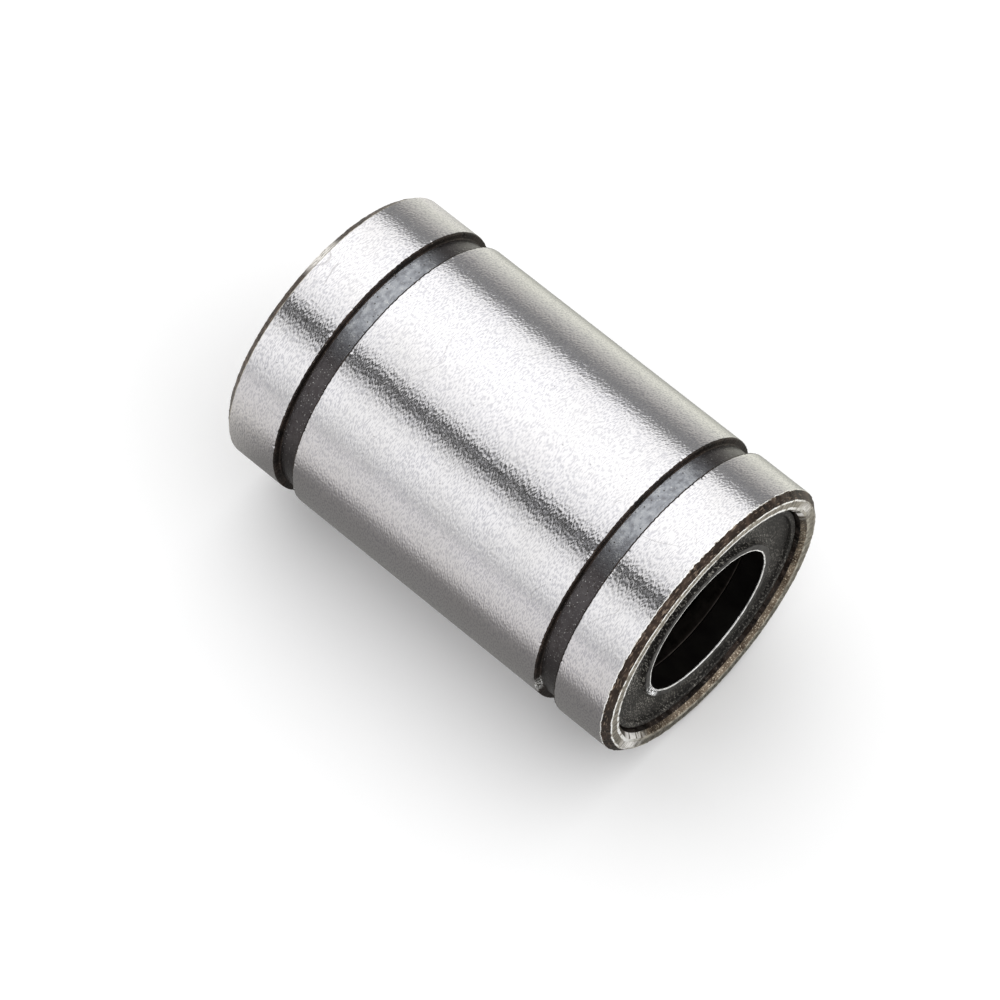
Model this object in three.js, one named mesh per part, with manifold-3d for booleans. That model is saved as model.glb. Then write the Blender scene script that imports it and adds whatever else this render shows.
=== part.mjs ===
// Linear ball bushing for an 8 mm shaft. A ground steel sleeve with two locating grooves holds a
// moulded retainer, which guides four closed circuits of steel balls. In each circuit one row
// runs between the shaft and the sleeve, a second row comes back through a relief in the sleeve,
// and a half turn at each end joins them. A steel ring and a lipped wiper seal close each end.
//
// Units are millimetres. The origin is the centre of the bushing, +X runs along the bore towards
// the front end, and +Z is up, with the bushing lying on its side.

import * as THREE from 'three';
import { mergeVertices } from 'three/addons/utils/BufferGeometryUtils.js';
import Module from 'manifold-3d';

const wasm = await Module();
wasm.setup();

// ---- driving dimensions ----

const SHAFT_D = 8;
const OUTER_D = 15;
const LENGTH = 24;
const GROOVE_SPAN = 17.5; // from the outer wall of one groove to the outer wall of the other
const GROOVE_WIDTH = 1.1;
const GROOVE_FLOOR_D = 14.3;
const CHAMFER = 0.35;

const BALL_D = 1.5;
const BALL_GAP = 0.1; // between neighbouring balls
const CIRCUITS = 4;
const ROW_BALLS = 6; // balls in each straight row
const TURN_BALLS = 3; // balls in each half turn
const RETURN_LIFT = 0.69; // the return row lies this much further out than the loaded row
const PIN_R = 0.19; // pin that joins the balls of a return row

const RUNNING_GAP = 0.02; // ball to shaft, and ball to raceway
const TRACK_GAP = 0.06; // ball to the walls of the retainer's track
const FIT_GAP = 0.1; // retainer, rings and seals to the sleeve
const FACE_GAP = 0.05; // end to end, between the pieces in the counterbore

const MOUTH_D = 13.2; // flat end face's inner edge
const MOUTH_DEPTH = 0.25;
const COUNTERBORE_D = 12.8;
const SHOULDER_X = 9.2; // where the counterbore ends

const RETAINER_BORE_D = 8.3;
const RING_BORE_D = 8.8;
const RING_THICKNESS = 0.9;

const SEAL_LIP_D = 7.9;
const SEAL_COLLAR_D = 8.72;
const SEAL_LIP_THICKNESS = 0.15;
const SEAL_RIM_D = 12; // inner edge of the seal's raised rim
const SEAL_FACE_X = 11.3;
const SEAL_RIM_X = 11.54;
const SEAL_COLLAR_X = 11.65;

const SLEEVE_SIDES = 72;
const RING_SIDES = 48;
const RELIEF_ARC_STEPS = 3;
const TURN_STEPS = 12;
const TRACK_STEPS = 2 * (TURN_STEPS + 2);
const TRACK_ARC_STEPS = 4;
const BALL_DETAIL = 1;
const PIN_SIDES = 8;

// ---- sizes that follow from them ----

const HALF_LENGTH = LENGTH / 2;
const OUTER_R = OUTER_D / 2;
const GROOVE_END_X = GROOVE_SPAN / 2;
const PITCH = BALL_D + BALL_GAP;
const ROW_HALF = (ROW_BALLS * PITCH) / 2; // the half turns are centred this far from the middle
const TURN_R = (TURN_BALLS * PITCH) / Math.PI;
const BALL_R = BALL_D / 2;
const LOADED_R = SHAFT_D / 2 + BALL_R + RUNNING_GAP;
const RETURN_R = LOADED_R + RETURN_LIFT;
const RACE_R = LOADED_R + BALL_R + RUNNING_GAP;
const RELIEF_R = RETURN_R + BALL_R + TRACK_GAP;
const COUNTERBORE_R = COUNTERBORE_D / 2;
const INSERT_R = COUNTERBORE_R - FIT_GAP;

// The two rows of a circuit are as far apart as the half turns are wide. By the law of cosines
// that sets the angle between them, seen along the bore.
const ROW_ANGLE = Math.acos(
  (LOADED_R ** 2 + RETURN_R ** 2 - (2 * TURN_R) ** 2) / (2 * LOADED_R * RETURN_R),
);
const RELIEF_MARGIN = THREE.MathUtils.degToRad(10.5); // from each row to the relief's edge past it

// ---- materials ----

const MATERIALS = {
  ground_steel: { color: 0xc9c8c6, roughness: 0.28, metalness: 1 },
  ball_steel: { color: 0xd4d6d8, roughness: 0.12, metalness: 1 },
  ring_steel: { color: 0x8b8a87, roughness: 0.4, metalness: 1 },
  retainer_resin: { color: 0x15151a, roughness: 0.5, metalness: 0 },
  seal_rubber: { color: 0x262624, roughness: 0.7, metalness: 0 },
};

function material(name) {
  return new THREE.MeshStandardMaterial(MATERIALS[name]);
}

// ---- helpers ----

function namedMesh(name, geometry, materialName) {
  const mesh = new THREE.Mesh(geometry, material(materialName));
  mesh.name = name;
  return mesh;
}

function solid(geometry) {
  geometry.deleteAttribute('normal');
  geometry.deleteAttribute('uv');
  const merged = mergeVertices(geometry);
  return new wasm.Manifold(new wasm.Mesh({
    numProp: 3,
    vertProperties: new Float32Array(merged.attributes.position.array),
    triVerts: new Uint32Array(merged.index.array),
  }));
}

function geometryOf(body) {
  const { vertProperties, triVerts } = body.getMesh();
  const geometry = new THREE.BufferGeometry();
  geometry.setAttribute('position', new THREE.BufferAttribute(vertProperties, 3));
  geometry.setIndex(new THREE.BufferAttribute(triVerts, 1));
  geometry.computeVertexNormals();
  return geometry;
}

// Turns a closed profile of [x, r] points about the bore. The profile runs forward along its
// outer side and back along its inner side. The middles of the flats touch the true circles, and
// one flat faces straight down, for the bushing to lie on.
function turned(profile, sides) {
  const halfSide = Math.PI / sides;
  const points = profile.map(([x, r]) => new THREE.Vector2(r / Math.cos(halfSide), x));
  points.push(points[0].clone());
  return new THREE.LatheGeometry(points, sides, halfSide).rotateZ(-Math.PI / 2);
}

function mirrored(points) {
  return points.map(([x, r]) => [-x, r]).reverse();
}

// ---- a circuit's geometry, in a frame whose +Y axis points at the loaded row ----

const LOADED_ROW = new THREE.Vector3(0, LOADED_R, 0);
const RETURN_ROW = new THREE.Vector3(
  0,
  RETURN_R * Math.cos(ROW_ANGLE),
  RETURN_R * Math.sin(ROW_ANGLE),
);
const CIRCUIT_CENTRE = LOADED_ROW.clone().add(RETURN_ROW).multiplyScalar(0.5);
const ALONG = new THREE.Vector3(1, 0, 0);
const SIDEWAYS = new THREE.Vector3(0, 1, 0);
const UP = new THREE.Vector3(0, 0, 1);
const ACROSS = RETURN_ROW.clone().sub(LOADED_ROW).normalize(); // from loaded to return row
const INWARD = new THREE.Vector3().crossVectors(ALONG, ACROSS);

// Takes a shape drawn in the circuit's own plane, with x along the bore and y from the loaded to
// the return row, to its place in the bushing.
const CIRCUIT_PLANE = new THREE.Matrix4()
  .makeBasis(ALONG, ACROSS, INWARD)
  .setPosition(CIRCUIT_CENTRE);

// Circuits are spaced evenly round the bore, and the first is centred on +Y.
function circuitAngle(index) {
  return (index * 2 * Math.PI) / CIRCUITS - ROW_ANGLE / 2;
}

// A circuit's closed path: from the middle of the loaded row forward, round the front half turn,
// back along the return row and round the rear half turn. Each half row is a single step, and the
// other steps are spread over the half turns.
class CircuitPath extends THREE.Curve {
  getPoint(t, target = new THREE.Vector3()) {
    const side = t <= 0.5 ? 1 : -1;
    const step = Math.min(t, 1 - t) * TRACK_STEPS;
    if (step < 1) {
      return target.set(side * ROW_HALF * step, -TURN_R, 0);
    }
    if (step > TURN_STEPS + 1) {
      return target.set(side * ROW_HALF * (TURN_STEPS + 2 - step), TURN_R, 0);
    }
    const angle = ((step - 1) * Math.PI) / TURN_STEPS;
    const x = side * (ROW_HALF + TURN_R * Math.sin(angle));
    return target.set(x, -TURN_R * Math.cos(angle), 0);
  }

  getUtoTmapping(u) {
    return u;
  }
}

// ---- outer sleeve ----

function sleeveBlank() {
  const outer = [
    [GROOVE_END_X - GROOVE_WIDTH, OUTER_R],
    [GROOVE_END_X - GROOVE_WIDTH, GROOVE_FLOOR_D / 2],
    [GROOVE_END_X, GROOVE_FLOOR_D / 2],
    [GROOVE_END_X, OUTER_R],
    [HALF_LENGTH - CHAMFER, OUTER_R],
    [HALF_LENGTH, OUTER_R - CHAMFER],
  ];
  const inner = [
    [HALF_LENGTH, MOUTH_D / 2],
    [HALF_LENGTH - MOUTH_DEPTH, COUNTERBORE_R],
    [SHOULDER_X, COUNTERBORE_R],
    [SHOULDER_X, RACE_R],
  ];
  return turned([...mirrored(outer), ...outer, ...inner, ...mirrored(inner)], SLEEVE_SIDES);
}

// A sector along the whole bore, which gives the half turns and the return row room.
function reliefSector(start, end) {
  const inside = RACE_R - 2 * FIT_GAP;
  const depth = 2 * SHOULDER_X + FIT_GAP;
  const sector = new THREE.Shape();
  sector.absarc(0, 0, RELIEF_R, start, end, false);
  sector.absarc(0, 0, inside, end, start, true);
  const options = { depth, bevelEnabled: false, curveSegments: RELIEF_ARC_STEPS };
  // The drawing's x and y become y and z, and its depth runs along the bore.
  const lay = new THREE.Matrix4().makeBasis(SIDEWAYS, UP, ALONG).setPosition(-depth / 2, 0, 0);
  return new THREE.ExtrudeGeometry(sector, options).applyMatrix4(lay);
}

function outerSleeve() {
  let body = solid(sleeveBlank());
  for (let index = 0; index < CIRCUITS; index += 1) {
    const row = circuitAngle(index);
    const sector = reliefSector(row + RELIEF_MARGIN, row + ROW_ANGLE + RELIEF_MARGIN);
    body = body.subtract(solid(sector));
  }
  return namedMesh('outer_sleeve', geometryOf(body), 'ground_steel');
}

// ---- ball retainer ----

// A channel with a round bottom, open outwards, that follows the whole circuit. A sweep whose
// end meets its start has no lids, so only the faces of its sides are kept.
function trackCutter() {
  const half = BALL_R + TRACK_GAP;
  const rise = OUTER_R - CIRCUIT_CENTRE.length();
  const section = new THREE.Shape();
  section.moveTo(0, -half);
  section.lineTo(rise, -half);
  section.lineTo(rise, half);
  section.lineTo(0, half);
  section.absarc(0, 0, half, Math.PI / 2, (3 * Math.PI) / 2, false);
  const swept = new THREE.ExtrudeGeometry(section, {
    extrudePath: new CircuitPath(),
    steps: TRACK_STEPS,
    curveSegments: TRACK_ARC_STEPS,
    bevelEnabled: false,
  });
  const { start, count } = swept.groups.find((part) => part.materialIndex === 1);
  const sides = swept.getAttribute('position').array.slice(3 * start, 3 * (start + count));
  const cutter = new THREE.BufferGeometry();
  cutter.setAttribute('position', new THREE.BufferAttribute(sides, 3));
  return cutter;
}

function ballRetainer() {
  const outer = RACE_R - FIT_GAP;
  const inner = RETAINER_BORE_D / 2;
  const end = SHOULDER_X - FACE_GAP;
  let body = solid(turned([[-end, outer], [end, outer], [end, inner], [-end, inner]], RING_SIDES));
  for (let index = 0; index < CIRCUITS; index += 1) {
    const turn = new THREE.Matrix4().makeRotationX(circuitAngle(index));
    const cutter = trackCutter().applyMatrix4(CIRCUIT_PLANE).applyMatrix4(turn);
    body = body.subtract(solid(cutter));
  }
  return namedMesh('ball_retainer', geometryOf(body), 'retainer_resin');
}

// ---- ring and seal at each end, drawn for the front end ----

function retainingRing() {
  const back = SHOULDER_X + FACE_GAP;
  const front = back + RING_THICKNESS;
  const boreR = RING_BORE_D / 2;
  return turned([[back, INSERT_R], [front, INSERT_R], [front, boreR], [back, boreR]], RING_SIDES);
}

function wiperSeal() {
  const back = SHOULDER_X + RING_THICKNESS + 2 * FACE_GAP;
  const collarR = SEAL_COLLAR_D / 2;
  const profile = [
    [back, INSERT_R],
    [SEAL_RIM_X, INSERT_R],
    [SEAL_RIM_X, SEAL_RIM_D / 2],
    [SEAL_FACE_X, SEAL_RIM_D / 2],
    [SEAL_FACE_X, collarR],
    [SEAL_COLLAR_X, collarR],
    [SEAL_COLLAR_X, SEAL_LIP_D / 2],
    [SEAL_FACE_X, collarR - SEAL_LIP_THICKNESS], // undercut, so that the lip can flex
    [back, RING_BORE_D / 2],
  ];
  return turned(profile, RING_SIDES);
}

function endPieces() {
  const group = new THREE.Group();
  const ends = { front: 0, rear: Math.PI };
  for (const [end, turn] of Object.entries(ends)) {
    const ring = namedMesh(`${end}_retaining_ring`, retainingRing(), 'ring_steel');
    const seal = namedMesh(`${end}_seal`, wiperSeal(), 'seal_rubber');
    for (const piece of [ring, seal]) {
      piece.rotation.y = turn;
      group.add(piece);
    }
  }
  return group;
}

// ---- balls ----

function ball() {
  return new THREE.IcosahedronGeometry(BALL_R, BALL_DETAIL);
}

// Where ball number index of a straight row lies along the bore.
function rowPlace(index) {
  return (index - (ROW_BALLS - 1) / 2) * PITCH;
}

function loadedBalls(name) {
  const balls = [];
  for (let index = 0; index < ROW_BALLS; index += 1) {
    const mesh = namedMesh(`${name}_loaded_ball_${index + 1}`, ball(), 'ball_steel');
    mesh.position.copy(LOADED_ROW).setX(rowPlace(index));
    balls.push(mesh);
  }
  return balls;
}

// The balls of a half turn stand half a pitch in from its ends. side is 1 at the front, -1 at
// the rear.
function turnBalls(name, end, side) {
  const balls = [];
  for (let index = 0; index < TURN_BALLS; index += 1) {
    const angle = ((index + 0.5) * Math.PI) / TURN_BALLS;
    const mesh = namedMesh(`${name}_${end}_turn_ball_${index + 1}`, ball(), 'ball_steel');
    mesh.position
      .copy(CIRCUIT_CENTRE)
      .addScaledVector(ACROSS, -TURN_R * Math.cos(angle))
      .addScaledVector(ALONG, side * (ROW_HALF + TURN_R * Math.sin(angle)));
    balls.push(mesh);
  }
  return balls;
}

// The return row is one piece, its balls joined by a thin pin through their centres.
function returnBalls(name) {
  const reach = (ROW_BALLS - 1) * PITCH;
  let row = solid(new THREE.CylinderGeometry(PIN_R, PIN_R, reach, PIN_SIDES).rotateZ(Math.PI / 2));
  for (let index = 0; index < ROW_BALLS; index += 1) {
    row = row.add(solid(ball().translate(rowPlace(index), 0, 0)));
  }
  const mesh = namedMesh(`${name}_return_balls`, geometryOf(row), 'ball_steel');
  mesh.position.copy(RETURN_ROW);
  return mesh;
}

function ballCircuit(index) {
  const name = `circuit_${index + 1}`;
  const circuit = new THREE.Group();
  circuit.rotation.x = circuitAngle(index);
  circuit.add(...loadedBalls(name));
  circuit.add(...turnBalls(name, 'front', 1));
  circuit.add(...turnBalls(name, 'rear', -1));
  circuit.add(returnBalls(name));
  return circuit;
}

// ---- the bushing ----

const group = new THREE.Group();
group.add(outerSleeve(), ballRetainer(), endPieces());
for (let index = 0; index < CIRCUITS; index += 1) {
  group.add(ballCircuit(index));
}

export default group;
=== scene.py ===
"""Linear ball bushing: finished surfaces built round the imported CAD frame.

Every visible piece is built here in fine mesh: the sleeve, seals, rings and retainer are turned
about the bore, the retainer's ball tracks are cut by a swept channel, and each ball is a smooth
sphere. Units are metres, the bore lies along X and the bushing lies on its side on a pale floor.
"""

from collections import namedtuple
import math
import random

import bmesh
import bpy
from mathutils import Matrix, Vector


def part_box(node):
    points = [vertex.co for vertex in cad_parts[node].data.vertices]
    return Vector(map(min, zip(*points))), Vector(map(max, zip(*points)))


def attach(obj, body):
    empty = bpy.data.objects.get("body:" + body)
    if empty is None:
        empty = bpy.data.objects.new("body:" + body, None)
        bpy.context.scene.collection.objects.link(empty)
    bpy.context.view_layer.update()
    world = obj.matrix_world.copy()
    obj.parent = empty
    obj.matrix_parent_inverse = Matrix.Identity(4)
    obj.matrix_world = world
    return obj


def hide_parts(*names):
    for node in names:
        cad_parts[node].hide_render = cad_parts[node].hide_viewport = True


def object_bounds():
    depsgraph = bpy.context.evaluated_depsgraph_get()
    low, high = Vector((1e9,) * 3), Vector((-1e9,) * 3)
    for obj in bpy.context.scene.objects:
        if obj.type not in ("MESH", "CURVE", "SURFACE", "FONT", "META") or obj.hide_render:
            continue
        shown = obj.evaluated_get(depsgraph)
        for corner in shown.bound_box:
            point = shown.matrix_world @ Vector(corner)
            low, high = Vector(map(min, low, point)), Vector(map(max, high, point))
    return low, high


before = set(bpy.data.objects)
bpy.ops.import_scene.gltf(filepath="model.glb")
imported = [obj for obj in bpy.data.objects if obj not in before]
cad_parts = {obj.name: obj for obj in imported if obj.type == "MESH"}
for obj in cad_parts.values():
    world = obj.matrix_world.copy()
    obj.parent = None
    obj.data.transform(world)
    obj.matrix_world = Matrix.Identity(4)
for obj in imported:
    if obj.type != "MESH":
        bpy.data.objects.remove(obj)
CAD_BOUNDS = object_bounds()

MM = 0.001
TURN = 2 * math.pi

# ---- sizes, from the CAD frame where it gives them ----

HALF_LENGTH = CAD_BOUNDS[1].x
OUTER_R = CAD_BOUNDS[1].z
FLOOR_Z = CAD_BOUNDS[0].z

CHAMFER = 0.35 * MM
GROOVE_END = 8.75 * MM
GROOVE_WIDTH = 1.1 * MM
GROOVE_FLOOR_R = 7.15 * MM
MOUTH_R = 6.6 * MM
MOUTH_DEPTH = 0.25 * MM
COUNTERBORE_R = 6.4 * MM
EDGE_RADIUS = 0.05 * MM  # worn outer corners
MOUTH_EDGE_RADIUS = 0.07 * MM
OUTER_HIGHLIGHT_STRIP = 0.07 * MM  # bright strips of worn edge on the end face beside its two edges, widening their painted highlights
MOUTH_HIGHLIGHT_STRIP = 0.14 * MM
GROOVE_EDGE_RADIUS = 0.09 * MM
FILLET_RADIUS = 0.07 * MM  # corners at the bottom of the grooves

SEAL_LOW, SEAL_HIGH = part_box("front_seal")
RING_LOW, RING_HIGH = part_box("front_retaining_ring")
RETAINER_LOW, RETAINER_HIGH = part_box("ball_retainer")
RETAINER_BORE_R = 4.15 * MM
RETAINER_EDGE_RADIUS = 0.12 * MM
RING_BORE_R = 4.4 * MM
RING_EDGE_RADIUS = 0.06 * MM
SEAL_RIM_R = 6.0 * MM
SEAL_RIM_X = 11.54 * MM
SEAL_FACE_X = 11.3 * MM
SEAL_COLLAR_R = 4.36 * MM
SEAL_LIP_R = 3.95 * MM
SEAL_EDGE_RADIUS = 0.06 * MM
SEAL_BEAD_RADIUS = 0.045 * MM  # the two beads of the lip
SEAL_DISH = 0.03 * MM  # how far the lip dips between its beads
SEAL_DISH_RADIUS = 0.2 * MM
SEAL_UNDERCUT = 0.15 * MM

CIRCUITS = 4
ROW_BALLS = 6
TURN_BALLS = 3
TRACK_GAP = 0.06 * MM
RACE_R = 5.54 * MM
RELIEF_R = 6.27 * MM
RELIEF_MARGIN = math.radians(10.5)
SHOULDER_GAP = 0.05 * MM  # between the retainer and the sleeve's shoulder

SLEEVE_SEGMENTS = 1080
RING_SEGMENTS = 288
BALL_SUBDIVISIONS = 4
TRACK_TURN_STEPS = 24
TRACK_BOTTOM_STEPS = 12
CORNER_STEPS = 3  # faces across a rounded corner
SUPPORT = 0.1 * MM  # two loops this far apart by each rounded corner keep long flats flat
LONG_STRETCH = 0.6 * MM  # stretches longer than this get those loops
SHARP_ANGLE = math.radians(40)  # edges sharper than this aren't smoothed over
CUT_SHARP_ANGLE = math.radians(30)

# ---- wear: dents are (how many, deepest, widest in radians), by end: 1 front and -1 rear ----

GROOVE_NICKS = (26, 0.05 * MM, 0.014)
CORNER_CHIPS = {1: (45, 0.045 * MM, 0.03), -1: (12, 0.02 * MM, 0.03)}
FACE_CHIPS = (60, 0.035 * MM, 0.05)
CORNER_RIPPLE = {1: 0.010 * MM, -1: 0.003 * MM}
GROOVE_WANDER = 0.006 * MM
FACE_WANDER = 0.008 * MM
LIP_WANDER = 0.008 * MM
WANDER_SEED = 20
NICK_SEED = 30
CORNER_SEED = 40
FACE_SEED = 50
LIP_SEED = {"front": 61, "rear": 62}

# ---- view: the camera looks at the bushing's centre from above its front end ----

VIEW_AZIMUTH = math.radians(42.05)
VIEW_ELEVATION = math.radians(61.9)
VIEW_DISTANCE = 272.9 * MM
VIEW_OFFSET_RIGHT = -0.96 * MM
VIEW_OFFSET_UP = -1.31 * MM
VIEW_LENS = 210  # millimetres, like the width of the sensor
VIEW_SENSOR = 36
VIEW_CLIP = (10 * MM, 10)

WORN_GLINT_SPOTS = [  # worn patches on the front end face, painted as glints: where, in millimetres, how far they reach
    ((11.85, 5.85, 2.45), 1.35),
    ((12.0, -5.6, -3.6), 1.8),
]
BURR_GLINTS = [((7.68, -7.35, -1.15), 0.9), ((-7.7, -7.4, -0.7), 0.5)]  # burrs on groove walls, painted bright as glints
DUST_AND_SHADE_SPOTS = [((11.3, -0.9, 0.5), 9.0), ((-11.3, -0.9, 0.5), 9.0)]  # dust on the seals round here, its specks fading away from these points as painted shade
REAR_SPOT = ((-11.85, -0.65, 7.35), 1.3)  # a bright scrape on the rear chamfer
# a torn patch of the lip, painted with black and white glints
LIP_GLINT_SPOT = ((11.65, -3.87, -1.6), 1.0)
HIGHLIGHT_SIDE = (0.35, -0.5, 0.8)  # up and towards the camera: the side whose worn edges are painted brightest, as highlights

# The studio is a set of long soft lights parallel to the bore. Each stop is a direction round the
# bore, in degrees from straight up towards -Y, and how bright the studio is there.
STUDIO_STRENGTH = 1.66
STUDIO_STOPS = [
    (-180, 0.2),
    (-92, 0.2),
    (-73, 0.16),
    (-68, 0.72),
    (-62, 0.84),
    (-45, 0.92),
    (-22, 1.0),
    (2, 0.86),
    (18, 0.74),
    (25, 0.6),
    (28, 0.0),
    (36, 0.02),
    (42, 0.5),
    (50, 0.72),
    (60, 0.8),
    (68, 0.74),
    (80, 0.62),
    (90, 0.45),
    (180, 0.2),
]
STUDIO_ENDS = (0.75, 0.75, 0.75)  # the studio's colour along the bore, past the lights' ends
STUDIO_ENDS_POWER = 6.0  # the higher this is, the closer to the bore's own direction it keeps

# How bright the floor looks in the steel, by the distance from the bore's axis towards -Y: a
# painted glow that only reflections see. It falls off away from the lights, and close by it holds
# a painted shade of the bushing. Beyond the bushing's ends that painted shade is gone.
FLOOR_REACH = 250 * MM
SHADE_END = (12.5, 19)  # millimetres along the bore from the middle, where the shade thins out
SHADE_SIDE = (18, 30)  # millimetres to the side, where the lighter floor beyond the ends stops
OPEN_FLOOR = (0.86, 0.84, 0.80)
FLOOR_STOPS = [
    (-250, (0.40, 0.385, 0.37)),
    (-67, (0.60, 0.59, 0.56)),
    (-40, (0.74, 0.735, 0.68)),
    (-29, (0.86, 0.86, 0.77)),
    (-23, (1.0, 1.0, 0.89)),
    (-18, (0.66, 0.66, 0.59)),
    (-14, (0.42, 0.42, 0.38)),
    (0, (0.20, 0.20, 0.19)),
    (17, (0.26, 0.25, 0.245)),
    (22, (0.70, 0.68, 0.67)),
    (30, (0.84, 0.82, 0.81)),
    (45, (0.84, 0.83, 0.82)),
    (80, (0.92, 0.90, 0.91)),
    (250, (0.60, 0.60, 0.60)),
]
FLOOR_GLOW = 1.08
FLOOR_SIZE = 3.0  # metres from the middle to each side
BACKDROP = (1.0, 1.0, 1.0)


# ---- camera, light and floor ----


def make_camera():
    azimuth, elevation = VIEW_AZIMUTH, VIEW_ELEVATION
    right = Vector((math.cos(azimuth), math.sin(azimuth), 0))
    back = Vector((math.sin(azimuth) * math.cos(elevation),
                   -math.cos(azimuth) * math.cos(elevation),
                   math.sin(elevation)))
    up = back.cross(right)
    camera = bpy.data.objects.new("camera", bpy.data.cameras.new("camera"))
    camera.data.sensor_width = VIEW_SENSOR
    camera.data.lens = VIEW_LENS
    camera.data.clip_start, camera.data.clip_end = VIEW_CLIP
    place = back * VIEW_DISTANCE + right * VIEW_OFFSET_RIGHT + up * VIEW_OFFSET_UP
    axes = Matrix((right, up, back)).transposed().to_4x4()
    camera.matrix_world = Matrix.Translation(place) @ axes
    bpy.context.scene.collection.objects.link(camera)
    bpy.context.scene.camera = camera


class Nodes:
    """Adds shader nodes to a tree and joins them by name."""

    def __init__(self, tree):
        self.tree = tree
        self.tree.nodes.clear()
        self.output = None

    def add(self, kind, **inputs):
        node = self.tree.nodes.new(kind)
        for name, value in inputs.items():
            self.feed(node, name.replace("_", " "), value)
        return node

    def feed(self, node, name, value):
        socket = node.inputs[int(name)] if name.isdigit() else node.inputs[name]
        if isinstance(value, bpy.types.NodeSocket):
            self.tree.links.new(value, socket)
        else:
            socket.default_value = value

    def math(self, operation, a, b=0.0, c=0.0):
        node = self.tree.nodes.new("ShaderNodeMath")
        node.operation = operation
        self.feed(node, "0", a)
        self.feed(node, "1", b)
        self.feed(node, "2", c)
        return node.outputs[0]

    def vector_math(self, operation, a, b=(0, 0, 0)):
        node = self.tree.nodes.new("ShaderNodeVectorMath")
        node.operation = operation
        self.feed(node, "0", a)
        self.feed(node, "1", b)
        return node

    def ramp(self, factor, stops):
        """A colour, or a level, read off a line through stops of (factor, colour or level)."""
        node = self.tree.nodes.new("ShaderNodeValToRGB")
        elements = node.color_ramp.elements
        while len(elements) < len(stops):
            elements.new(1.0)
        for element, (position, colour) in zip(elements, stops):
            element.position = position
            level = (colour,) * 3 if isinstance(colour, (int, float)) else colour
            element.color = (*level, 1)
        self.feed(node, "Fac", factor)
        return node.outputs["Color"]

    def mix(self, factor, a, b):
        node = self.tree.nodes.new("ShaderNodeMix")
        node.data_type = "RGBA"
        self.feed(node, "0", factor)
        for socket, value in zip([s for s in node.inputs if s.type == "RGBA"], (a, b)):
            if isinstance(value, bpy.types.NodeSocket):
                self.tree.links.new(value, socket)
            else:
                socket.default_value = (*value, 1)
        return next(s for s in node.outputs if s.type == "RGBA")

    def mix_shaders(self, factor, a, b):
        node = self.tree.nodes.new("ShaderNodeMixShader")
        self.feed(node, "0", factor)
        self.feed(node, "1", a.outputs[0])
        self.feed(node, "2", b.outputs[0])
        return node


def make_studio():
    world = bpy.data.worlds.new("studio")
    world.use_nodes = True
    nodes = Nodes(world.node_tree)
    direction = nodes.add("ShaderNodeTexCoord").outputs["Generated"]
    axes = nodes.add("ShaderNodeSeparateXYZ", Vector=direction).outputs
    towards = nodes.math("MULTIPLY", axes["Y"], -1.0)
    angle = nodes.math("ARCTAN2", towards, axes["Z"])
    part = nodes.math("MULTIPLY_ADD", angle, 1 / TURN, 0.5)
    stops = [((degrees + 180) / 360, level) for degrees, level in STUDIO_STOPS]
    bands = nodes.ramp(part, stops)
    ends = nodes.math("POWER", nodes.math("ABSOLUTE", axes["X"]), STUDIO_ENDS_POWER)
    light = nodes.mix(ends, bands, STUDIO_ENDS)
    studio = nodes.add("ShaderNodeBackground", Color=light, Strength=STUDIO_STRENGTH)
    backdrop = nodes.add("ShaderNodeBackground", Color=(*BACKDROP, 1), Strength=1.0)
    seen = nodes.add("ShaderNodeLightPath").outputs["Is Camera Ray"]
    mixed = nodes.mix_shaders(seen, studio, backdrop)
    nodes.add("ShaderNodeOutputWorld", Surface=mixed.outputs[0])
    bpy.context.scene.world = world
    bpy.context.scene.view_settings.view_transform = "Standard"


def falloff(nodes, coordinate, reach, inside, outside):
    """A level that goes from inside to outside as |coordinate| crosses reach, in millimetres."""
    node = nodes.add("ShaderNodeMapRange", Value=nodes.math("ABSOLUTE", coordinate))
    node.inputs["From Min"].default_value = reach[0] * MM
    node.inputs["From Max"].default_value = reach[1] * MM
    node.inputs["To Min"].default_value = inside
    node.inputs["To Max"].default_value = outside
    return node.outputs[0]


def pale_floor():
    """Plain pale floor, which in the steel shows the painted glow and painted shade that FLOOR_STOPS
    gives.
    """
    material, nodes, shader = new_material("pale_floor", roughness=0.7, specular=0.2)
    cloud = noise(nodes, (0.04, 0.04, 0.04))
    nodes.feed(shader, "Base Color", nodes.ramp(cloud, [(0.3, 0.92), (0.7, 0.95)]))
    place = nodes.add("ShaderNodeTexCoord").outputs["Object"]
    axes = nodes.add("ShaderNodeSeparateXYZ", Vector=place).outputs
    part = nodes.math("MULTIPLY_ADD", axes["Y"], -0.5 / FLOOR_REACH, 0.5)
    stops = [(0.5 + 0.5 * reach * MM / FLOOR_REACH, level) for reach, level in FLOOR_STOPS]
    ends = falloff(nodes, axes["X"], SHADE_END, 0.0, 1.0)
    sides = falloff(nodes, axes["Y"], SHADE_SIDE, 1.0, 0.0)
    shown = nodes.mix(nodes.math("MULTIPLY", ends, sides), nodes.ramp(part, stops), OPEN_FLOOR)
    seen_in_steel = nodes.add("ShaderNodeEmission", Color=shown, Strength=FLOOR_GLOW)
    mirrored_ray = nodes.add("ShaderNodeLightPath").outputs["Is Glossy Ray"]
    mixed = nodes.mix_shaders(mirrored_ray, shader, seen_in_steel)
    nodes.feed(nodes.output, "Surface", mixed.outputs[0])
    return material


def make_floor():
    mesh = bpy.data.meshes.new("floor")
    signs = [(-1, -1), (1, -1), (1, 1), (-1, 1)]
    corners = [(x * FLOOR_SIZE, y * FLOOR_SIZE, FLOOR_Z) for x, y in signs]
    mesh.from_pydata(corners, [], [(0, 1, 2, 3)])
    mesh.materials.append(pale_floor())
    floor = bpy.data.objects.new("floor", mesh)
    bpy.context.scene.collection.objects.link(floor)


# ---- materials ----


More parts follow.
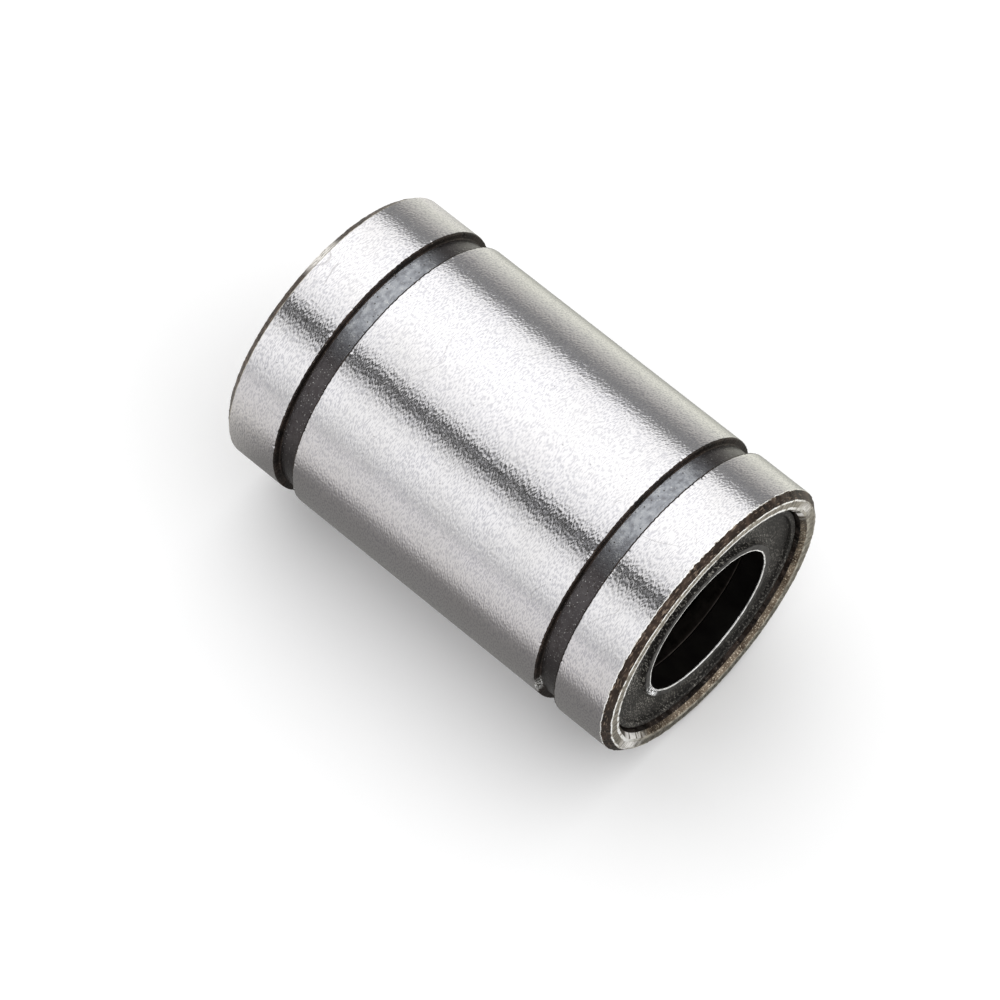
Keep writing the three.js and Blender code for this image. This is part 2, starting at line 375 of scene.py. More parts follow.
def new_material(name, roughness, metallic=0.0, specular=0.5):
    material = bpy.data.materials.new(name)
    material.use_nodes = True
    nodes = Nodes(material.node_tree)
    shader = nodes.add("ShaderNodeBsdfPrincipled")
    shader.inputs["Roughness"].default_value = roughness
    shader.inputs["Metallic"].default_value = metallic
    shader.inputs["Specular IOR Level"].default_value = specular
    nodes.output = nodes.add("ShaderNodeOutputMaterial", Surface=shader.outputs[0])
    return material, nodes, shader


def object_place(nodes, scale):
    """Object coordinates times scale, which is counted per metre along X, Y and Z."""
    place = nodes.add("ShaderNodeTexCoord").outputs["Object"]
    return nodes.add("ShaderNodeMapping", Vector=place, Scale=scale).outputs[0]


def noise(nodes, per_mm, detail=2.0, roughness=0.5):
    """Noise whose features are about 1 / per_mm millimetres long, along X, Y and Z."""
    scale = tuple(value / MM for value in per_mm)
    node = nodes.add("ShaderNodeTexNoise", Vector=object_place(nodes, scale), Scale=1.0)
    node.inputs["Detail"].default_value = detail
    node.inputs["Roughness"].default_value = roughness
    return node.outputs[0]


def cells(nodes, per_m):
    """The distance to the nearest of many scattered points, about 1 / per_m metres apart."""
    place = object_place(nodes, (per_m,) * 3)
    return nodes.add("ShaderNodeTexVoronoi", Vector=place, Scale=1.0).outputs["Distance"]


def bump(nodes, shader, height, distance):
    node = nodes.add("ShaderNodeBump", Height=height, Distance=distance, Strength=1.0)
    nodes.feed(shader, "Normal", node.outputs[0])


def near(nodes, point, reach):
    """1 at a point of the bushing, falling to 0 at reach millimetres from it."""
    place = nodes.add("ShaderNodeTexCoord").outputs["Object"]
    centre = tuple(value * MM for value in point)
    away = nodes.vector_math("DISTANCE", place, centre).outputs["Value"]
    return nodes.ramp(nodes.math("MULTIPLY", away, 1 / (reach * MM)), [(0.3, 1.0), (1.0, 0.0)])


def near_any(nodes, spots):
    """1 at any of some spots, each given as near() takes it."""
    level = 0.0
    for spot in spots:
        level = nodes.math("MAXIMUM", near(nodes, *spot), level)
    return level


def radial_scratches(nodes, per_turn, per_mm):
    """Noise stretched along the radius, as on a face rubbed from the bore outwards."""
    place = nodes.add("ShaderNodeTexCoord").outputs["Object"]
    axes = nodes.add("ShaderNodeSeparateXYZ", Vector=place).outputs
    angle = nodes.math("ARCTAN2", axes["Z"], axes["Y"])
    flat = nodes.vector_math("MULTIPLY", place, (0, 1, 1)).outputs[0]
    radius = nodes.vector_math("LENGTH", flat).outputs["Value"]
    around = nodes.math("MULTIPLY", angle, per_turn / TURN)
    out = nodes.math("MULTIPLY", radius, per_mm / MM)
    polar = nodes.add("ShaderNodeCombineXYZ", X=around, Y=out)
    node = nodes.add("ShaderNodeTexNoise", Vector=polar.outputs[0], Scale=1.0)
    node.inputs["Detail"].default_value = 3.0
    return node.outputs[0]


def hairlines(nodes, per_mm, width):
    """Long thin curved scratches, 1 on a scratch and 0 off it, broken off at random."""
    course = noise(nodes, per_mm, detail=1.0)
    off = nodes.math("ABSOLUTE", nodes.math("SUBTRACT", course, 0.5))
    line = nodes.ramp(off, [(0.0, 1.0), (width, 0.0)])
    gaps = noise(nodes, tuple(1.7 * value for value in per_mm))
    kept = nodes.ramp(gaps, [(0.56, 0.0), (0.6, 1.0)])
    return nodes.math("MULTIPLY", line, kept)


def ground_steel():
    """Ground bearing steel: short fine grain round the body, pits and hairline scratches."""
    material, nodes, shader = new_material("ground_steel", roughness=0.2, metallic=1.0)
    grain = noise(nodes, (18.0, 5.6, 5.6), detail=0.0)
    peel = noise(nodes, (8.0, 3.2, 3.2), detail=2.0)
    cloud = noise(nodes, (0.35, 0.35, 0.35), detail=3.0)
    tones = [(0.34, (0.515, 0.51, 0.535)), (0.46, (0.62, 0.615, 0.63)), (0.56, (0.69, 0.68, 0.69))]
    tone = nodes.ramp(grain, tones)
    clouded = nodes.mix(nodes.ramp(cloud, [(0.4, 0.0), (0.75, 0.3)]), tone, (0.60, 0.59, 0.57))
    pits = nodes.ramp(cells(nodes, 1500), [(0.03, 0.8), (0.055, 0.0)])
    pitted = nodes.mix(pits, clouded, (0.12, 0.11, 0.11))
    scratch = nodes.math("MULTIPLY", hairlines(nodes, (0.22, 0.3, 0.3), 0.0008), 0.5)
    nodes.feed(shader, "Base Color", nodes.mix(scratch, pitted, (0.25, 0.24, 0.24)))
    nodes.feed(shader, "Roughness", nodes.ramp(grain, [(0.3, 0.22), (0.6, 0.14)]))
    bump(nodes, shader, nodes.math("ADD", grain, nodes.math("MULTIPLY", peel, 0.3)), 0.014 * MM)
    return material


def blued_steel():
    """Unground groove floor: blue-grey heat tint, painted shade dark brown towards the sides, with
    specks and pits.
    """
    material, nodes, shader = new_material("blued_steel", roughness=0.3, metallic=1.0)
    patch = noise(nodes, (4.5, 2.6, 2.6), detail=5.0)
    speck = noise(nodes, (13.0, 11.0, 11.0), detail=2.0)
    blues = [(0.34, (0.17, 0.173, 0.187)), (0.5, (0.24, 0.25, 0.27)), (0.66, (0.32, 0.33, 0.345))]
    base = nodes.ramp(patch, blues)
    place = nodes.add("ShaderNodeTexCoord").outputs["Object"]
    sideways = nodes.math("ABSOLUTE", nodes.add("ShaderNodeSeparateXYZ", Vector=place).outputs["Y"])
    # painted shade: the floor goes dark brown towards its sides, where its walls shade it
    side = nodes.ramp(nodes.math("MULTIPLY", sideways, 1 / GROOVE_FLOOR_R), [(0.3, 0.0), (0.55, 0.9)])
    painted_side_shade = nodes.mix(side, base, (0.05, 0.042, 0.042))
    specked = nodes.mix(nodes.ramp(speck, [(0.64, 0.0), (0.72, 0.7)]), painted_side_shade, (0.5, 0.5, 0.48))
    pits = nodes.ramp(cells(nodes, 3500), [(0.1, 0.9), (0.16, 0.0)])
    nodes.feed(shader, "Base Color", nodes.mix(pits, specked, (0.04, 0.035, 0.03)))
    nodes.feed(shader, "Roughness", nodes.ramp(patch, [(0.3, 0.36), (0.7, 0.26)]))
    bump(nodes, shader, nodes.math("ADD", speck, patch), 0.012 * MM)
    return material


def scaled_steel():
    """Unground chamfers: dark brown heat scale, rough and speckled, scraped bright in one place."""
    material, nodes, shader = new_material("scaled_steel", roughness=0.45, metallic=0.8)
    patch = noise(nodes, (1.6, 1.6, 1.6), detail=5.0)
    speck = noise(nodes, (20.0, 3.2, 3.2), detail=4.0)
    browns = [(0.3, (0.012, 0.008, 0.006)), (0.55, (0.042, 0.028, 0.021)), (0.75, (0.10, 0.068, 0.05))]
    base = nodes.ramp(patch, browns)
    specked = nodes.mix(nodes.ramp(speck, [(0.56, 0.0), (0.7, 0.8)]), base, (0.34, 0.26, 0.20))
    ragged = nodes.ramp(speck, [(0.4, 0.3), (0.5, 1.0)])
    scraped = nodes.math("MULTIPLY", near(nodes, *REAR_SPOT), ragged)
    nodes.feed(shader, "Base Color", nodes.mix(scraped, specked, (0.9, 0.88, 0.84)))
    bump(nodes, shader, nodes.math("ADD", speck, patch), 0.02 * MM)
    return material


def dark_wall():
    """Walls cut into the steel and never ground: nearly black, with a little brown, and painted glints
    at the burrs.
    """
    material, nodes, shader = new_material("dark_wall", roughness=0.5, metallic=0.7)
    patch = noise(nodes, (3.0, 1.2, 1.2), detail=5.0)
    speck = noise(nodes, (12.0, 9.0, 9.0), detail=2.0)
    base = nodes.ramp(patch, [(0.35, (0.008, 0.006, 0.005)), (0.7, (0.045, 0.03, 0.023))])
    specked = nodes.mix(nodes.ramp(speck, [(0.62, 0.0), (0.74, 0.5)]), base, (0.3, 0.26, 0.22))
    ragged = nodes.ramp(speck, [(0.46, 0.0), (0.52, 1.0)])
    # painted glints: a white base where the walls have burrs
    burr_glints = nodes.math("MULTIPLY", near_any(nodes, BURR_GLINTS), ragged)
    nodes.feed(shader, "Base Color", nodes.mix(burr_glints, specked, (1.0, 1.0, 0.98)))
    bump(nodes, shader, speck, 0.02 * MM)
    return material


def turned_steel():
    """Turned end face: olive-brown, rubbed radially, with two worn patches painted bright as glints.
    """
    material, nodes, shader = new_material("turned_steel", roughness=0.34)
    patch = noise(nodes, (4.0, 4.0, 4.0), detail=5.0)
    rubbed = radial_scratches(nodes, 420, 1.5)
    olives = [(0.35, (0.09, 0.076, 0.058)), (0.52, (0.21, 0.185, 0.145)), (0.68, (0.38, 0.35, 0.29))]
    base = nodes.ramp(patch, olives)
    streaked = nodes.mix(nodes.ramp(rubbed, [(0.48, 0.0), (0.62, 0.7)]), base, (0.62, 0.58, 0.50))
    scratched = nodes.ramp(rubbed, [(0.42, 0.1), (0.5, 1.0)])
    # painted glints: the scratched worn patches turn near white and less metallic
    worn = nodes.math("MULTIPLY", near_any(nodes, WORN_GLINT_SPOTS), scratched)
    nodes.feed(shader, "Base Color", nodes.mix(worn, streaked, (0.95, 0.93, 0.90)))
    nodes.feed(shader, "Metallic", nodes.ramp(worn, [(0.2, 1.0), (0.8, 0.4)]))
    bump(nodes, shader, nodes.math("ADD", rubbed, patch), 0.012 * MM)
    return material


def browned_steel():
    """The bevel inside the mouth: brown, with fine bright sparkles, and painted glints at the end
    face's worn patches.
    """
    material, nodes, shader = new_material("browned_steel", roughness=0.34)
    patch = noise(nodes, (1.2, 1.2, 1.2), detail=4.0)
    speck = noise(nodes, (14.0, 12.0, 12.0), detail=2.0)
    rubbed = radial_scratches(nodes, 210, 1.0)
    browns = [(0.36, (0.05, 0.036, 0.026)), (0.6, (0.17, 0.135, 0.10)), (0.72, (0.30, 0.25, 0.20))]
    base = nodes.ramp(patch, browns)
    sparkled = nodes.mix(nodes.ramp(speck, [(0.57, 0.0), (0.68, 0.85)]), base, (0.66, 0.58, 0.46))
    scratched = nodes.ramp(rubbed, [(0.42, 0.0), (0.5, 1.0)])
    # painted glints: the scratched worn patches turn near white and less metallic
    worn = nodes.math("MULTIPLY", near_any(nodes, WORN_GLINT_SPOTS), scratched)
    nodes.feed(shader, "Base Color", nodes.mix(worn, sparkled, (0.95, 0.93, 0.90)))
    nodes.feed(shader, "Metallic", nodes.ramp(worn, [(0.2, 1.0), (0.8, 0.4)]))
    bump(nodes, shader, nodes.math("ADD", speck, rubbed), 0.02 * MM)
    return material


def worn_highlit_edge():
    """Worn, burred corners, painted bright as highlights on the side facing up and towards the camera,
    and left brown on the other.
    """
    material, nodes, shader = new_material("worn_highlit_edge", roughness=0.28, metallic=0.4)
    patch = noise(nodes, (2.6, 2.6, 2.6), detail=5.0)
    place = nodes.add("ShaderNodeTexCoord").outputs["Object"]
    towards = nodes.vector_math("DOT_PRODUCT", place, HIGHLIGHT_SIDE).outputs["Value"]
    side = nodes.math("MULTIPLY_ADD", towards, 0.5 / OUTER_R, 0.5)
    # painted highlight: edges turn bright on the side facing up and towards the camera
    highlit = nodes.ramp(side, [(0.68, 0.0), (0.86, 1.0)])
    whites = [(0.36, (0.22, 0.19, 0.15)), (0.44, (0.8, 0.78, 0.72)), (0.52, (1.0, 1.0, 0.98))]
    bright = nodes.ramp(patch, whites)
    dull = nodes.ramp(patch, [(0.4, (0.14, 0.12, 0.09)), (0.6, (0.42, 0.39, 0.32))])
    nodes.feed(shader, "Base Color", nodes.mix(highlit, dull, bright))
    bump(nodes, shader, patch, 0.03 * MM)
    return material


def raceway_steel():
    """Hardened bore, honed bright."""
    material, nodes, shader = new_material("raceway_steel", roughness=0.18, metallic=1.0)
    streak = noise(nodes, (0.4, 6.0, 6.0), detail=3.0)
    nodes.feed(shader, "Base Color", nodes.ramp(streak, [(0.3, 0.42), (0.7, 0.56)]))
    bump(nodes, shader, streak, 0.003 * MM)
    return material


def ball_steel():
    """Polished balls with a thin film of oil."""
    material, nodes, shader = new_material("ball_steel", roughness=0.06, metallic=1.0)
    film = noise(nodes, (1.5, 1.5, 1.5), detail=3.0)
    silvers = [(0.3, (0.68, 0.69, 0.7)), (0.7, (0.8, 0.8, 0.8))]
    nodes.feed(shader, "Base Color", nodes.ramp(film, silvers))
    nodes.feed(shader, "Roughness", nodes.ramp(film, [(0.4, 0.05), (0.7, 0.12)]))
    return material


def ring_steel():
    """Stamped spring-steel rings, black from tempering and oil."""
    material, nodes, shader = new_material("ring_steel", roughness=0.45, metallic=1.0)
    patch = noise(nodes, (2.0, 2.0, 2.0), detail=4.0)
    blacks = [(0.3, (0.016, 0.013, 0.011)), (0.7, (0.05, 0.043, 0.038))]
    nodes.feed(shader, "Base Color", nodes.ramp(patch, blacks))
    bump(nodes, shader, patch, 0.006 * MM)
    return material


def retainer_resin():
    """Black moulded resin with a fine satin surface."""
    material, nodes, shader = new_material("retainer_resin", roughness=0.5, specular=0.1)
    satin = noise(nodes, (9.0, 9.0, 9.0), detail=3.0)
    flow = noise(nodes, (0.5, 1.2, 1.2), detail=3.0)
    blacks = [(0.3, (0.004, 0.003, 0.003)), (0.7, (0.009, 0.008, 0.007))]
    nodes.feed(shader, "Base Color", nodes.ramp(flow, blacks))
    bump(nodes, shader, satin, 0.004 * MM)
    return material


def seal_rubber():
    """Matt black rubber, finely speckled with dust, whose specks fade off-centre as painted shade."""
    material, nodes, shader = new_material("seal_rubber", roughness=0.6, specular=0.3)
    speck = noise(nodes, (10.0, 10.0, 10.0), detail=2.0, roughness=0.6)
    patch = noise(nodes, (0.5, 0.5, 0.5), detail=3.0)
    base = nodes.ramp(patch, [(0.4, (0.007, 0.006, 0.005)), (0.65, (0.018, 0.016, 0.014))])
    specks = nodes.ramp(speck, [(0.56, 0.0), (0.62, 1.0)])
    gathered = nodes.ramp(patch, [(0.36, 0.3), (0.56, 1.0)])
    # painted shade: the dust specks fade away from an off-centre point, so one side of the face
    # darkens
    unshaded = near_any(nodes, DUST_AND_SHADE_SPOTS)
    dust_and_shade = nodes.math("MULTIPLY", nodes.math("MULTIPLY", specks, gathered), unshaded)
    nodes.feed(shader, "Base Color", nodes.mix(dust_and_shade, base, (0.48, 0.46, 0.41)))
    bump(nodes, shader, speck, 0.014 * MM)
    return material


def painted_glint_patch(nodes, tear_glints, base):
    """The colour base, but painted black and white as glints where the lip is torn and wet."""
    ragged = nodes.ramp(tear_glints, [(0.48, 0.01), (0.53, 1.0)])
    return nodes.mix(near(nodes, *LIP_GLINT_SPOT), base, ragged)


def seal_lip():
    """The seal's lip, wiped smooth and wet: painted near white and part metallic as a bright highlight
    line, with painted glints on a torn patch in one place.
    """
    material, nodes, shader = new_material("seal_lip", roughness=0.2, metallic=0.4)
    patch = noise(nodes, (2.5, 2.5, 2.5), detail=4.0)
    tear_glints = noise(nodes, (6.0, 6.0, 6.0), detail=3.0)
    # painted highlight: the rubber gets a whitish base and metallic 0.4, so its beads shine as a
    # bright line
    base = nodes.ramp(patch, [(0.34, (0.45, 0.44, 0.43)), (0.5, (1.0, 1.0, 0.98))])
    nodes.feed(shader, "Base Color", painted_glint_patch(nodes, tear_glints, base))
    nodes.feed(shader, "Roughness", nodes.ramp(patch, [(0.4, 0.16), (0.65, 0.4)]))
    bump(nodes, shader, nodes.math("ADD", patch, tear_glints), 0.02 * MM)
    return material


def seal_collar():
    """The collar round the lip: black rubber with a faint sheen, and painted glints at the lip's torn
    patch.
    """
    material, nodes, shader = new_material("seal_collar", roughness=0.45, specular=0.35)
    patch = noise(nodes, (2.5, 2.5, 2.5), detail=4.0)
    tear_glints = noise(nodes, (6.0, 6.0, 6.0), detail=3.0)
    base = nodes.ramp(patch, [(0.4, (0.006, 0.005, 0.005)), (0.62, (0.05, 0.048, 0.045))])
    nodes.feed(shader, "Base Color", painted_glint_patch(nodes, tear_glints, base))
    bump(nodes, shader, nodes.math("ADD", patch, tear_glints), 0.02 * MM)
    return material


FINISHES = {
    "ground": ground_steel,
    "blued": blued_steel,
    "scale": scaled_steel,
    "wall": dark_wall,
    "turned": turned_steel,
    "bevel": browned_steel,
    "edge": worn_highlit_edge,
    "raceway": raceway_steel,
    "ball": ball_steel,
    "ring": ring_steel,
    "resin": retainer_resin,
    "rubber": seal_rubber,
    "lip": seal_lip,
    "collar": seal_collar,
}
made_finishes = {}


def finish(name):
    if name not in made_finishes:
        made_finishes[name] = FINISHES[name]()
    return made_finishes[name]


# ---- turned pieces ----


# A corner of a turned outline: where it is, its rounding radius, the finish of the stretch that
# leads to it and of the corner itself, and the kind of wear that moves it.
Corner = namedtuple("Corner", "x r radius finish edge wear", defaults=(0, "ground", None, None))


def mirrored(corners):
    """The outline's rear twin, whose stretches lead the other way."""
    led_by = corners[1:] + corners[:1]
    pairs = zip(corners, led_by)
    twins = [corner._replace(x=-corner.x, finish=after.finish) for corner, after in pairs]
    return twins[::-1]


def rounded(corners):
    """The outline's points, as (x, r, finish, wear), with its corners rounded."""
    points = []
    for number, corner in enumerate(corners):
        here = Vector((corner.x, corner.r))
        following = corners[(number + 1) % len(corners)]
        if not corner.radius:
            points.append((here.x, here.y, corner.finish, corner.wear))
            continue
        inward = Vector(corners[number - 1][:2]) - here
        onward = Vector(following[:2]) - here
        cut = corner.radius * math.tan((math.pi - inward.angle(onward)) / 2)
        start, end = here + inward.normalized() * cut, here + onward.normalized() * cut
        if inward.length > LONG_STRETCH:
            for loop in (2, 1):
                held = start + inward.normalized() * SUPPORT * loop
                points.append((held.x, held.y, corner.finish, None))
        for step in range(CORNER_STEPS + 1):
            t = step / CORNER_STEPS
            at = start * (1 - t) ** 2 + here * 2 * t * (1 - t) + end * t**2
            finish_name = corner.finish if step == 0 else corner.edge or corner.finish
            points.append((at.x, at.y, finish_name, corner.wear))
        if onward.length > LONG_STRETCH:
            for loop in (1, 2):
                held = end + onward.normalized() * SUPPORT * loop
                points.append((held.x, held.y, following.finish, None))
    return points


def turned(name, corners, segments, worn=None):
    """A closed ring turned about X, from corners that run forward along its outside and back along
    its inside. worn(wear, x, r, angle) moves the points of a corner that wears."""
    points = rounded(corners)
    names = sorted({point[2] for point in points})
    count = len(points)
    vertices = []
    for step in range(segments):
        angle = TURN * step / segments
        for x, r, _, wear in points:
            if wear:
                x, r = worn(wear, x, r, angle)
            vertices.append((x, r * math.cos(angle), r * math.sin(angle)))
    faces = []
    slots = []
    for step in range(segments):
        here, there = step * count, (step + 1) % segments * count
        for index in range(count):
            before = index - 1 if index else count - 1
            faces.append((here + before, there + before, there + index, here + index))
            slots.append(names.index(points[index][2]))
    mesh = bpy.data.meshes.new(name)
    mesh.from_pydata(vertices, [], faces)
    for finish_name in names:
        mesh.materials.append(finish(finish_name))
    mesh.polygons.foreach_set("material_index", slots)
    return placed(name, mesh)


def smoothed(mesh, sharp_angle):
    mesh.polygons.foreach_set("use_smooth", [True] * len(mesh.polygons))
    mesh.set_sharp_from_angle(angle=sharp_angle)
    mesh.update()


def placed(name, mesh):
    """A piece in the scene with the mesh, smooth but for its sharp edges."""
    piece = bpy.data.objects.new(name, mesh)
    bpy.context.scene.collection.objects.link(piece)
    bm = bmesh.new()
    bm.from_mesh(mesh)
    bmesh.ops.recalc_face_normals(bm, faces=bm.faces)
    bm.to_mesh(mesh)
    bm.free()
    smoothed(mesh, SHARP_ANGLE)
    return piece


def uneven(seed, terms=24, slowest=3, fastest=200):
    """A smooth random function of the angle round the bore, mostly between -2 and 2."""
    draw = random.Random(seed)
    waves = [(draw.randint(slowest, fastest), draw.uniform(0, TURN)) for _ in range(terms)]
    scale = 1.6 / math.sqrt(terms)
    return lambda angle: scale * sum(math.sin(n * angle + phase) for n, phase in waves)


def chips(seed, count, depth, width):
    """Small dents in an edge at random angles: their depth at an angle, from 0 to depth."""
    draw = random.Random(seed)
    dents = []
    for _ in range(count):
        centre = draw.uniform(0, TURN)
        deep = draw.uniform(0.2, 1) * depth
        wide = draw.uniform(0.4, 1) * width
        dents.append((centre, deep, wide))

    def at(angle):
        deepest = 0.0
        for centre, deep, wide in dents:
            away = abs((angle - centre + math.pi) % TURN - math.pi)
            if away < wide:
                deepest = max(deepest, deep * (1 - (away / wide) ** 2))
        return deepest

    return at


# ---- outer sleeve ----


def ball_place(node):
    low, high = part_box(node)
    return (low + high) / 2


def row_angles(circuit):
    """Where a circuit's loaded and return rows lie round the bore."""
    loaded = ball_place(f"circuit_{circuit}_loaded_ball_1")
    back = ball_place(f"circuit_{circuit}_return_balls")
    return math.atan2(loaded.z, loaded.y), math.atan2(back.z, back.y)


def sleeve_corners():
    near_wall = GROOVE_END - GROOVE_WIDTH
    floor = GROOVE_FLOOR_R
    shoulder = RETAINER_HIGH.x + SHOULDER_GAP
    edge, groove_edge, fillet = EDGE_RADIUS, GROOVE_EDGE_RADIUS, FILLET_RADIUS
    return [
        Corner(near_wall, OUTER_R, groove_edge, "ground", "wall", "groove"),
        Corner(near_wall, floor, fillet, "wall", "wall"),
        Corner(GROOVE_END, floor, fillet, "blued", "wall"),
        Corner(GROOVE_END, OUTER_R, groove_edge, "wall", "wall", "groove"),
        Corner(HALF_LENGTH - CHAMFER, OUTER_R, edge, "ground", "edge", "corner"),
        Corner(HALF_LENGTH, OUTER_R - CHAMFER, edge, "scale", "edge", "face"),
        # strips of the edge finish beside the face's two edges: worn, and painted wide as highlights
        Corner(HALF_LENGTH, OUTER_R - CHAMFER - OUTER_HIGHLIGHT_STRIP, 0, "edge", wear="face"),
        Corner(HALF_LENGTH, MOUTH_R + MOUTH_HIGHLIGHT_STRIP, 0, "turned", wear="face"),
        Corner(HALF_LENGTH, MOUTH_R, MOUTH_EDGE_RADIUS, "edge", "edge", "face"),
        Corner(HALF_LENGTH - MOUTH_DEPTH, COUNTERBORE_R, 0, "bevel"),
        Corner(shoulder, COUNTERBORE_R, 0, "wall"),
        Corner(shoulder, RACE_R, 0, "wall", wear="race"),
    ]


def sleeve_wear():
    """How far the sleeve's corners are worn, at each end and angle, and where its reliefs are."""
    reliefs = []
    for circuit in range(1, CIRCUITS + 1):
        loaded, back = row_angles(circuit)
        reliefs.append((loaded + RELIEF_MARGIN, (back - loaded) % TURN))
    ends = (1, -1)
    wander = {side: uneven(WANDER_SEED + side) for side in ends}
    nicks = {side: chips(NICK_SEED + side, *GROOVE_NICKS) for side in ends}
    corner = {side: chips(CORNER_SEED + side, *CORNER_CHIPS[side]) for side in ends}
    face = {side: chips(FACE_SEED + side, *FACE_CHIPS) for side in ends}

    def worn(wear, x, r, angle):
        side = 1 if x > 0 else -1
        if wear == "race":
            in_relief = any((angle - start) % TURN < span for start, span in reliefs)
            return x, RELIEF_R if in_relief else r
        if wear == "groove":
            return x + side * GROOVE_WANDER * wander[side](angle), r - nicks[side](angle)
        if wear == "corner":
            return x - side * (corner[side](angle) + CORNER_RIPPLE[side] * wander[side](angle)), r
        return x, r + FACE_WANDER * wander[side](angle) + face[side](angle)

    return worn


def make_sleeve():
    front = sleeve_corners()
    corners = mirrored(front) + front
    corners[0] = corners[0]._replace(finish="raceway")
    sleeve = turned("sleeve", corners, SLEEVE_SEGMENTS, sleeve_wear())
    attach(sleeve, "housing")
    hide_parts("outer_sleeve")


# ---- rings and seals ----


def make_rings():
    radius = RING_EDGE_RADIUS
    outer, low, high = RING_HIGH.z, RING_LOW.x, RING_HIGH.x
    corners = [
        Corner(low, outer, radius, "ring"),
        Corner(high, outer, radius, "ring"),
        Corner(high, RING_BORE_R, radius, "ring"),
        Corner(low, RING_BORE_R, radius, "ring"),
    ]
    for end, outline in (("front", corners), ("rear", mirrored(corners))):
        ring = turned(f"{end}_ring", outline, RING_SEGMENTS)
        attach(ring, "housing")
        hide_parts(f"{end}_retaining_ring")


def seal_corners():
    outer, back, tip = SEAL_HIGH.z, SEAL_LOW.x, SEAL_HIGH.x
    rim, bead = SEAL_EDGE_RADIUS, SEAL_BEAD_RADIUS
    dish_r = (SEAL_COLLAR_R + SEAL_LIP_R) / 2
    return [
        Corner(back, outer, rim, "rubber"),
        Corner(SEAL_RIM_X, outer, rim, "rubber", "rubber"),
        Corner(SEAL_RIM_X, SEAL_RIM_R, rim, "rubber", "rubber"),
        Corner(SEAL_FACE_X, SEAL_RIM_R, rim, "rubber"),
        Corner(SEAL_FACE_X, SEAL_COLLAR_R, rim, "rubber"),
        Corner(tip, SEAL_COLLAR_R, bead, "rubber", "collar", "lip"),
        Corner(tip - SEAL_DISH, dish_r, SEAL_DISH_RADIUS, "collar"),
        Corner(tip, SEAL_LIP_R, bead, "collar", "lip", "lip"),
        Corner(SEAL_FACE_X, SEAL_COLLAR_R - SEAL_UNDERCUT, 0, "resin"),
        Corner(back, RING_BORE_R, 0, "resin"),
    ]


def make_seals():
    corners = seal_corners()
    for end, outline in (("front", corners), ("rear", mirrored(corners))):
        wander = uneven(LIP_SEED[end], slowest=2, fastest=30)

        def worn(wear, x, r, angle, wander=wander):
            return x, r + LIP_WANDER * wander(angle)

        seal = turned(f"{end}_wiper_seal", outline, RING_SEGMENTS, worn)
        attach(seal, "housing")
        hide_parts(f"{end}_seal")


# ---- ball retainer ----


def circuit_axes(circuit):
    """A circuit's centre, its unit vectors across, from loaded to return row, and outwards, and the
    radius of its turns."""
    loaded = ball_place(f"circuit_{circuit}_loaded_ball_1")
    back = ball_place(f"circuit_{circuit}_return_balls")
    loaded.x = back.x = 0
    across = (back - loaded).normalized()
    return (loaded + back) / 2, across, across.cross(Vector((1, 0, 0))), (back - loaded).length / 2


def track_section(half, rise):
    """The outline across a track, as (out of the circuit, away from the bore)."""
    section = [(-half, rise), (half, rise)]
    for step in range(TRACK_BOTTOM_STEPS + 1):
        angle = math.pi * step / TRACK_BOTTOM_STEPS
        section.append((half * math.cos(angle), -half * math.sin(angle)))
    return section


def track_path(half_row, turn_r):
    """The circuit's closed path laid flat: each point, and the way out of the circuit there."""
    path = []
    for side in (1, -1):
        for step in range(TRACK_TURN_STEPS + 1):
            angle = math.pi * step / TRACK_TURN_STEPS
            out = Vector((math.sin(angle), -math.cos(angle))) * side
            path.append((Vector((side * half_row, 0)) + out * turn_r, out))
    return path


def track_cutter(circuit, ball_r):
    """A channel with a round bottom, open outwards, swept along the circuit's closed path."""
    centre, across, outward, turn_r = circuit_axes(circuit)
    half_row = turn_r * math.pi / TURN_BALLS * ROW_BALLS / 2
    section = track_section(ball_r + TRACK_GAP, OUTER_R - centre.length)
    path = track_path(half_row, turn_r)
    vertices = []
    for at, out in path:
        for u, v in section:
            flat = at + out * u
            vertices.append(centre + Vector((flat.x, 0, 0)) + across * flat.y + outward * v)
    count = len(section)
    faces = []
    for step in range(len(path)):
        here, there = step * count, (step + 1) % len(path) * count
        for index in range(count):
            before = (index - 1) % count
            faces.append((here + before, here + index, there + index, there + before))
    mesh = bpy.data.meshes.new(f"cutter_{circuit}")
    mesh.from_pydata(vertices, [], faces)
    return placed(f"cutter_{circuit}", mesh)


def mesh_with_tracks(retainer):
    """The retainer's mesh with every circuit's track cut out of it."""
    low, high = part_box("circuit_1_loaded_ball_1")
    ball_r = (high.x - low.x) / 2
    cutters = [track_cutter(circuit, ball_r) for circuit in range(1, CIRCUITS + 1)]
    for cutter in cutters:
        cut = retainer.modifiers.new("track", "BOOLEAN")
        cut.operation = "DIFFERENCE"
        cut.solver = "EXACT"
        cut.object = cutter
    depsgraph = bpy.context.evaluated_depsgraph_get()
    mesh = bpy.data.meshes.new_from_object(retainer.evaluated_get(depsgraph))
    retainer.modifiers.clear()
    for cutter in cutters:
        bpy.data.objects.remove(cutter)
    smoothed(mesh, CUT_SHARP_ANGLE)
    return mesh


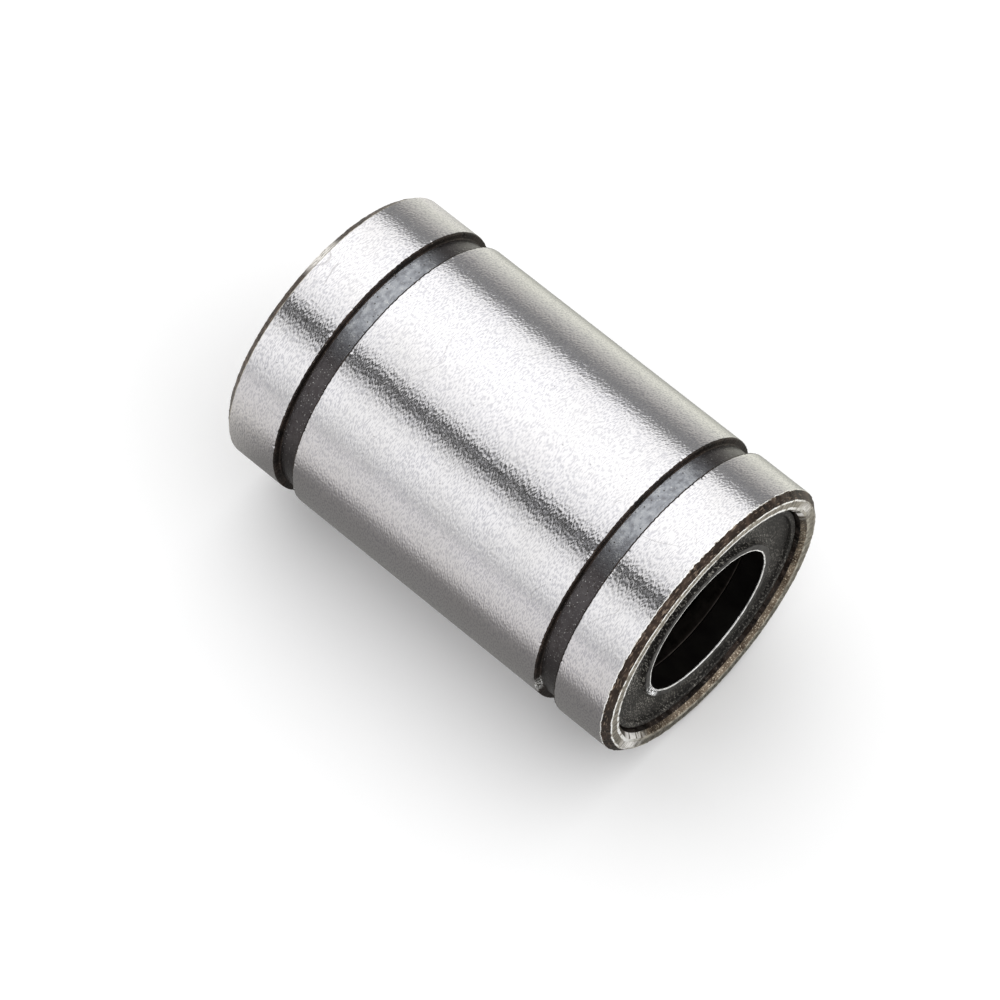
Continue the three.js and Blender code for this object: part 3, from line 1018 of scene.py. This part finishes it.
def make_retainer():
    outer, low, high = RETAINER_HIGH.z, RETAINER_LOW.x, RETAINER_HIGH.x
    radius = RETAINER_EDGE_RADIUS
    corners = [
        Corner(low, outer, radius, "resin"),
        Corner(high, outer, radius, "resin"),
        Corner(high, RETAINER_BORE_R, radius, "resin"),
        Corner(low, RETAINER_BORE_R, radius, "resin"),
    ]
    retainer = turned("retainer", corners, RING_SEGMENTS)
    retainer.data = mesh_with_tracks(retainer)
    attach(retainer, "housing")
    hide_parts("ball_retainer")


# ---- balls ----


def smooth_ball(name, centre, radius):
    mesh = bpy.data.meshes.new(name)
    bm = bmesh.new()
    place = Matrix.Translation(centre)
    bmesh.ops.create_icosphere(bm, subdivisions=BALL_SUBDIVISIONS, radius=radius, matrix=place)
    bm.to_mesh(mesh)
    bm.free()
    mesh.materials.append(finish("ball"))
    mesh.polygons.foreach_set("use_smooth", [True] * len(mesh.polygons))
    ball = bpy.data.objects.new(name, mesh)
    bpy.context.scene.collection.objects.link(ball)
    return ball


def single_ball(node, body):
    low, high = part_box(node)
    ball = smooth_ball(node.replace("ball", "bright_ball"), (low + high) / 2, (high.x - low.x) / 2)
    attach(ball, body)
    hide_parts(node)
    return ball


def make_circuit(circuit):
    name = f"circuit_{circuit}"
    first = single_ball(f"{name}_loaded_ball_1", f"{name}_loaded_row")
    for number in range(2, ROW_BALLS + 1):
        single_ball(f"{name}_loaded_ball_{number}", f"{name}_loaded_row")
    for end in ("front", "rear"):
        for number in range(1, TURN_BALLS + 1):
            single_ball(f"{name}_{end}_turn_ball_{number}", f"{name}_{end}_turn")
    low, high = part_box(f"{name}_return_balls")
    ball_r = first.dimensions.x / 2
    middle = (low + high) / 2
    reach = (high.x - low.x) / 2 - ball_r
    for number in range(ROW_BALLS):
        x = -reach + 2 * reach * number / (ROW_BALLS - 1)
        centre = Vector((x, middle.y, middle.z))
        ball = smooth_ball(f"{name}_return_bright_ball_{number + 1}", centre, ball_r)
        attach(ball, f"{name}_return_row")
        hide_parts(f"{name}_return_balls")


# ---- the scene ----

make_camera()
make_studio()
make_floor()
make_sleeve()
make_rings()
make_seals()
make_retainer()
for circuit_number in range(1, CIRCUITS + 1):
    make_circuit(circuit_number)

bpy.context.view_layer.update()
